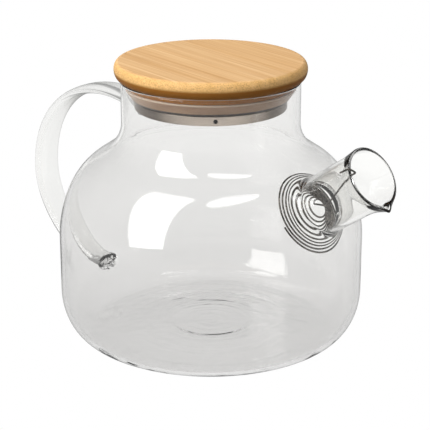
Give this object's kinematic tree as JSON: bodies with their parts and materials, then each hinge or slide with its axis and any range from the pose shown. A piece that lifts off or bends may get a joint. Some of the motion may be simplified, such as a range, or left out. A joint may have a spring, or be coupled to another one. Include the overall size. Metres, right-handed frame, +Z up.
{
  "type": "glass teapot",
  "caption": "Clear glass teapot with a strap handle, a straight fused spout with a coiled wire filter, and a bamboo lid with a seal and a steel cap.",
  "frame": {"origin": "centre of the base, on the plane that the pot stands on", "axes": "+Z up, +X towards the spout, handle on -X"},
  "size_m": [0.2112, 0.14, 0.1293],
  "materials": {
    "body_glass": "clear, smooth",
    "filter_wire": "drawn wire",
    "lid_bamboo": "sanded, oiled",
    "lid_seal": "translucent silicone, satin",
    "lid_steel": "brushed round the band"
  },
  "bodies": {
    "pot": {"glass_body": "body_glass", "glass_spout": "body_glass", "glass_handle": "body_glass"},
    "lid": {"bamboo_lid": "lid_bamboo", "silicone_seal": "lid_seal", "steel_cap": "lid_steel"},
    "filter": {"spring_filter": "filter_wire"}
  },
  "joints": [
    {"name": "lid_lift", "type": "slide", "parent": "pot", "child": "lid", "axis": [0, 0, 1], "range_m": [0, 0.06]},
    {"name": "filter_turn", "type": "hinge", "parent": "pot", "child": "filter", "pos_m": [0.0899, 0, 0.0927], "axis": [0.8192, 0, 0.5736], "range_deg": [-210, 85]}
  ]
}
